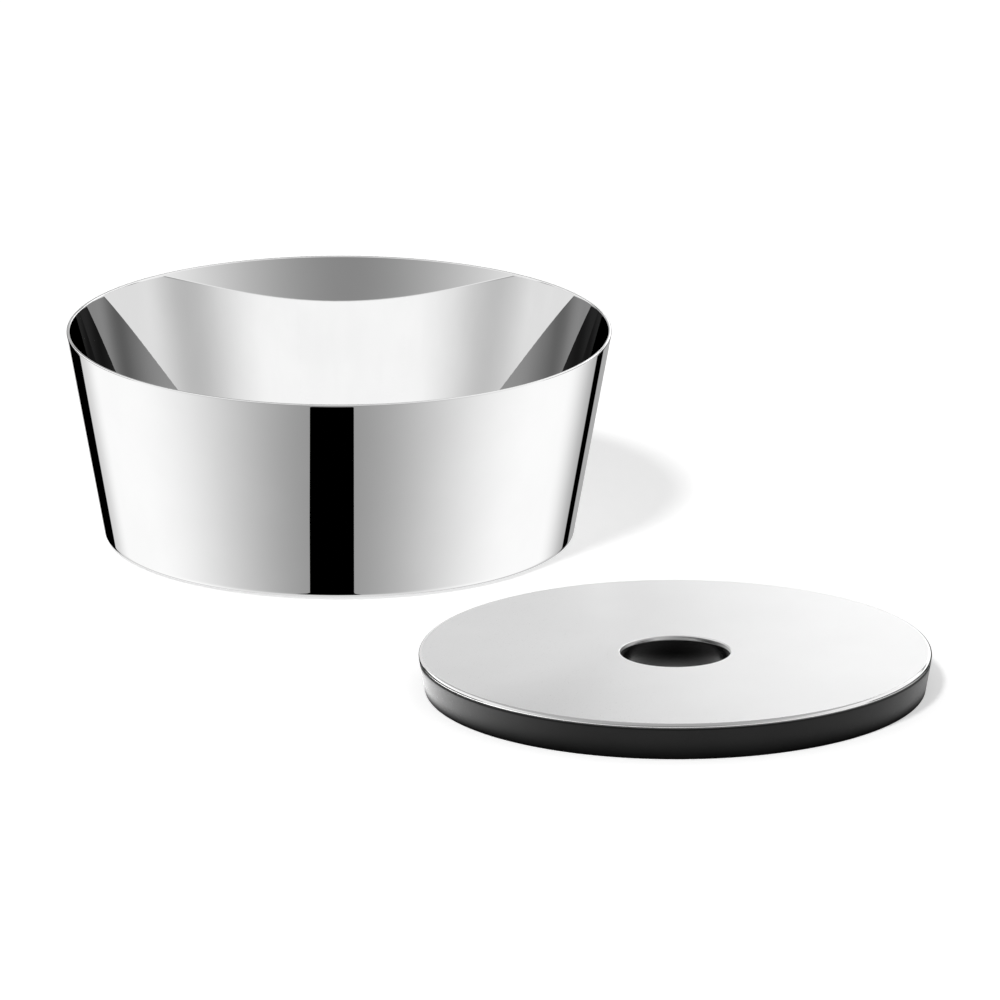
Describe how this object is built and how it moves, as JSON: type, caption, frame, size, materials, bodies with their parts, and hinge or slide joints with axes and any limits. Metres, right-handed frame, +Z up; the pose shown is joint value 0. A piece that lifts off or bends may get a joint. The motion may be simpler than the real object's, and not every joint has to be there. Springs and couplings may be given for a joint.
{
  "type": "storage box",
  "caption": "Round tapered steel storage box with a flat drop-in lid: a steel plate on a black moulded ring, with a finger hole in the middle.",
  "frame": {"origin": "middle of the face that the box stands on", "axes": "+Z up along the box's axis; the lid lies on the same surface, towards -Y and a little to +X"},
  "size_m": [0.2201, 0.2744, 0.0548],
  "materials": {
    "polished_steel": "mirror polished",
    "satin_steel": "fine satin",
    "black_plastic": "satin moulded",
    "pad_rubber": "matt",
    "adhesive": "thin bonding film"
  },
  "bodies": {
    "box": {"box_shell": "polished_steel", "base_pad": "pad_rubber", "pad_adhesive": "adhesive"},
    "lid": {"lid_plate": "satin_steel", "plate_adhesive": "adhesive", "lid_carrier": "black_plastic"}
  },
  "joints": [
    {"name": "lid_lift", "type": "slide", "parent": "box", "child": "lid", "axis": [0, 0, 1], "range_m": [0, 0.08]}
  ]
}
